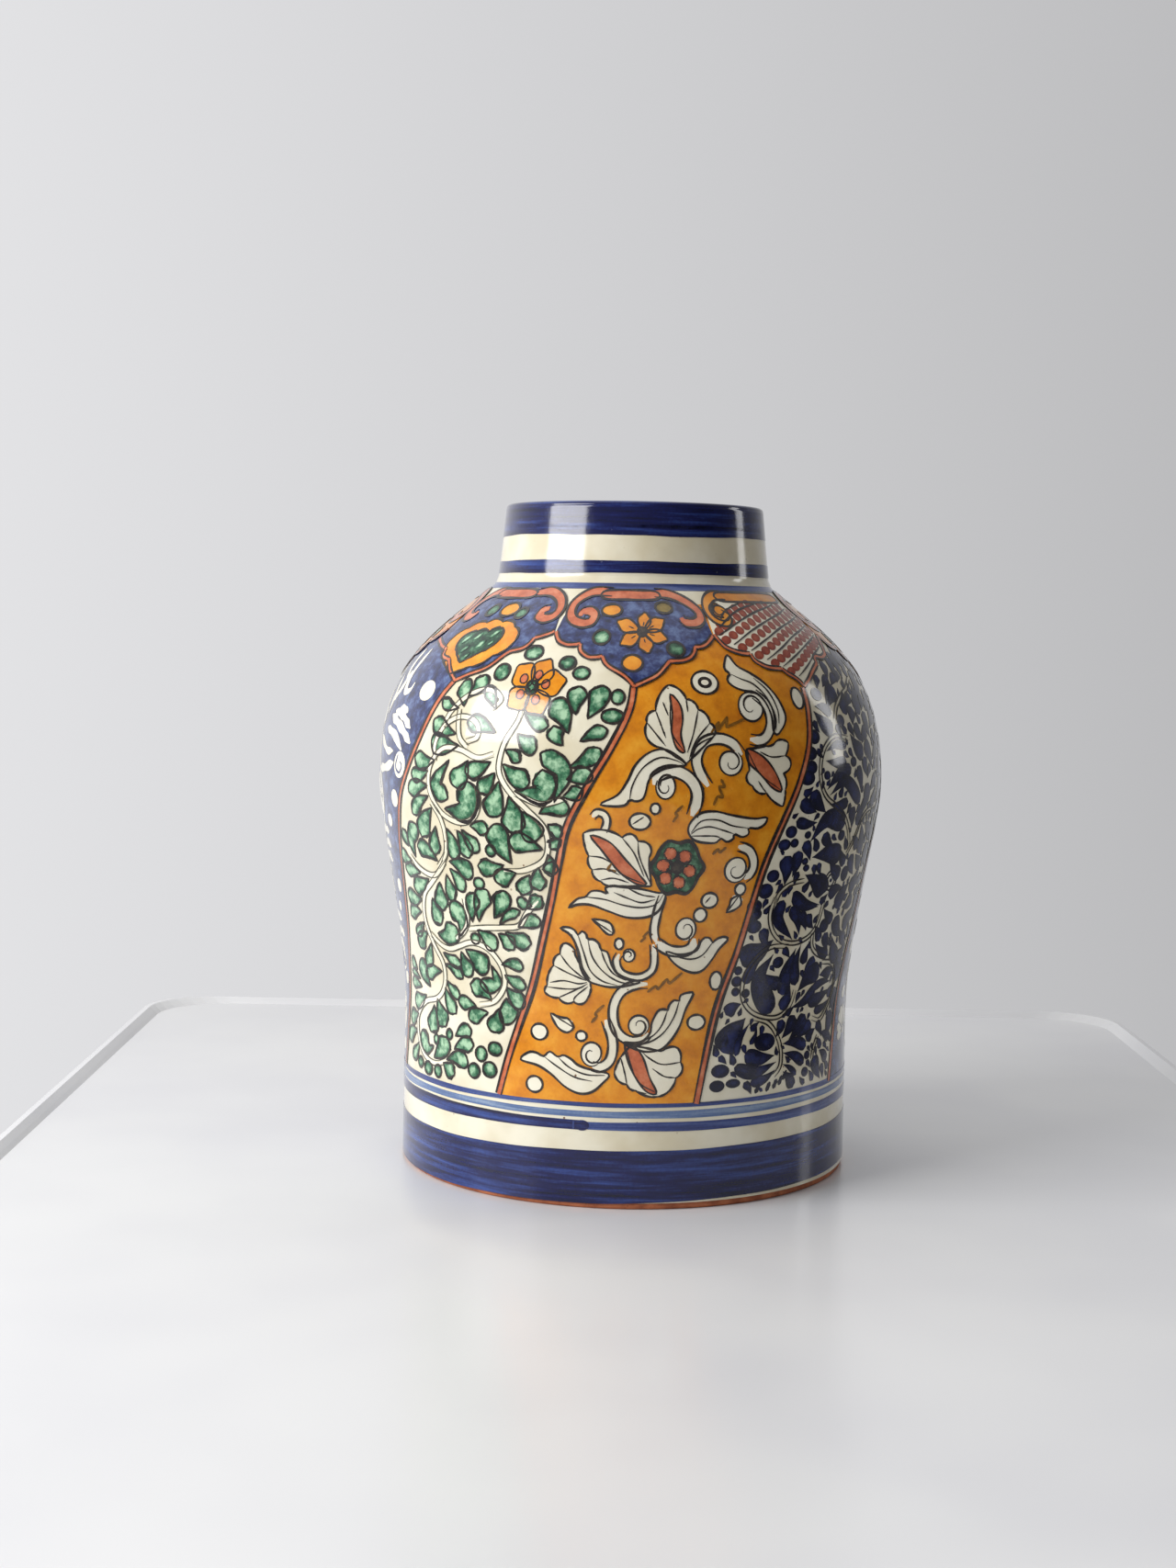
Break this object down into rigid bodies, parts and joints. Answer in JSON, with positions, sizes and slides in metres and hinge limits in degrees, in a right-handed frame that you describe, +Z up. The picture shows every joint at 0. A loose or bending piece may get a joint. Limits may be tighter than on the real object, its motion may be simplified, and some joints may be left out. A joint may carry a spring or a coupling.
{
  "type": "talavera pottery jar",
  "caption": "Broad-shouldered round earthenware jar with a short neck and open mouth, tin-glazed and painted with swirling panels.",
  "frame": {"origin": "centre of the foot, on the surface that the jar stands on", "axes": "+Z up along the axis of the jar, -Y towards the painted front"},
  "size_m": [0.2342, 0.2342, 0.305],
  "materials": {
    "terracotta": "bare fired earthenware, matt and slightly gritty",
    "slip": "fired joining slip, matt",
    "lining": "thin glossy tin glaze with pinholes",
    "tin_glaze": "thick glossy cream tin glaze with fine pits",
    "cobalt": "dark cobalt blue under gloss, with brush streaks",
    "blue_wash": "washed cobalt blue, uneven, under gloss",
    "pale_blue": "thin pale blue brush line under gloss",
    "orange": "mottled iron orange under gloss",
    "coral": "coral red, slightly matt, brushed",
    "white": "white ground under gloss",
    "copper_green": "glossy copper green under the glaze, pale in the middle of a leaf and dark at its edge",
    "dark_line": "thin glossy outline in brown-black, drawn by brush",
    "red_brown": "glossy red-brown dots"
  },
  "bodies": {
    "root": {"clay_base": "terracotta", "clay_belly": "terracotta", "clay_neck": "terracotta", "clay_shoulder": "terracotta", "foot_band": "cobalt", "foot_stroke": "cobalt", "inner_glaze": "lining", "lappet_1": "orange", "lappet_2": "blue_wash", "lappet_3": "blue_wash", "lappet_4": "white", "lappet_5": "orange", "lappet_6": "blue_wash", "lappet_7": "blue_wash", "lappet_8": "white", "neck_line_lower": "blue_wash", "neck_line_upper": "cobalt", "outer_glaze": "tin_glaze", "pale_line": "pale_blue", "panel_line": "blue_wash", "rib_1": "coral", "rib_2": "coral", "rib_3": "coral", "rib_4": "coral", "rib_5": "coral", "rib_6": "coral", "rib_7": "coral", "rib_8": "coral", "rim_band": "cobalt", "slip_joint_belly": "slip", "slip_joint_neck": "slip", "slip_joint_waist": "slip"}
  },
  "joints": []
}
